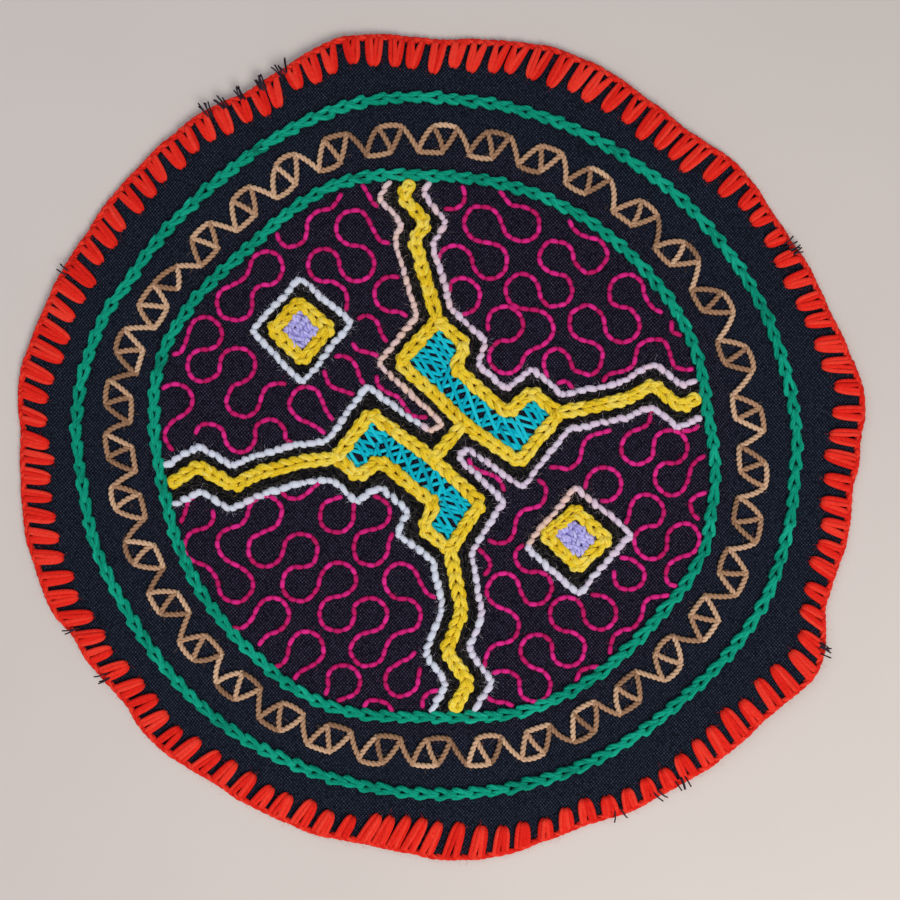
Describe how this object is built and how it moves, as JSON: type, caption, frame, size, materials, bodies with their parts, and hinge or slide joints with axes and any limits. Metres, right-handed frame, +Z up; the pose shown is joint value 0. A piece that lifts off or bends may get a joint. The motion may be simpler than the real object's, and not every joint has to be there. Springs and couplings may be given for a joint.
{
  "type": "embroidered round altar cloth",
  "caption": "Small round black cotton cloth with a scarlet blanket-stitch edging and traditional geometric yarn embroidery, lying flat.",
  "frame": {"origin": "middle of the cloth's bounding box, on the surface it lies on", "axes": "+Z up out of the embroidered face, +Y to the side that the top arm points to, +X to the right seen from above"},
  "size_m": [0.2504, 0.2442, 0.0045],
  "materials": {
    "black_cotton": "matt plain weave",
    "scarlet_yarn": "soft acrylic yarn",
    "green_yarn": "soft acrylic yarn",
    "tan_cord": "twisted cotton cord",
    "yellow_yarn": "soft acrylic yarn",
    "turquoise_thread": "lightly shining thread",
    "pale_yarn": "soft acrylic yarn",
    "lavender_yarn": "soft acrylic yarn"
  },
  "bodies": {
    "root": {"cloth": "black_cotton", "edging": "scarlet_yarn", "outer_ring": "green_yarn", "inner_ring": "green_yarn", "zigzag_ring": "tan_cord", "upper_bar": "yellow_yarn", "lower_bar": "yellow_yarn", "crosslink": "yellow_yarn", "top_arm": "yellow_yarn", "right_arm": "yellow_yarn", "left_arm": "yellow_yarn", "bottom_arm": "yellow_yarn", "upper_ring": "yellow_yarn", "lower_ring": "yellow_yarn", "upper_fill": "turquoise_thread", "lower_fill": "turquoise_thread", "outline_top_left": "pale_yarn", "outline_top_right": "pale_yarn", "outline_bottom_right": "pale_yarn", "outline_bottom_left": "pale_yarn", "upper_diamond": "pale_yarn", "lower_diamond": "pale_yarn", "upper_heart": "lavender_yarn", "lower_heart": "lavender_yarn"}
  },
  "joints": []
}
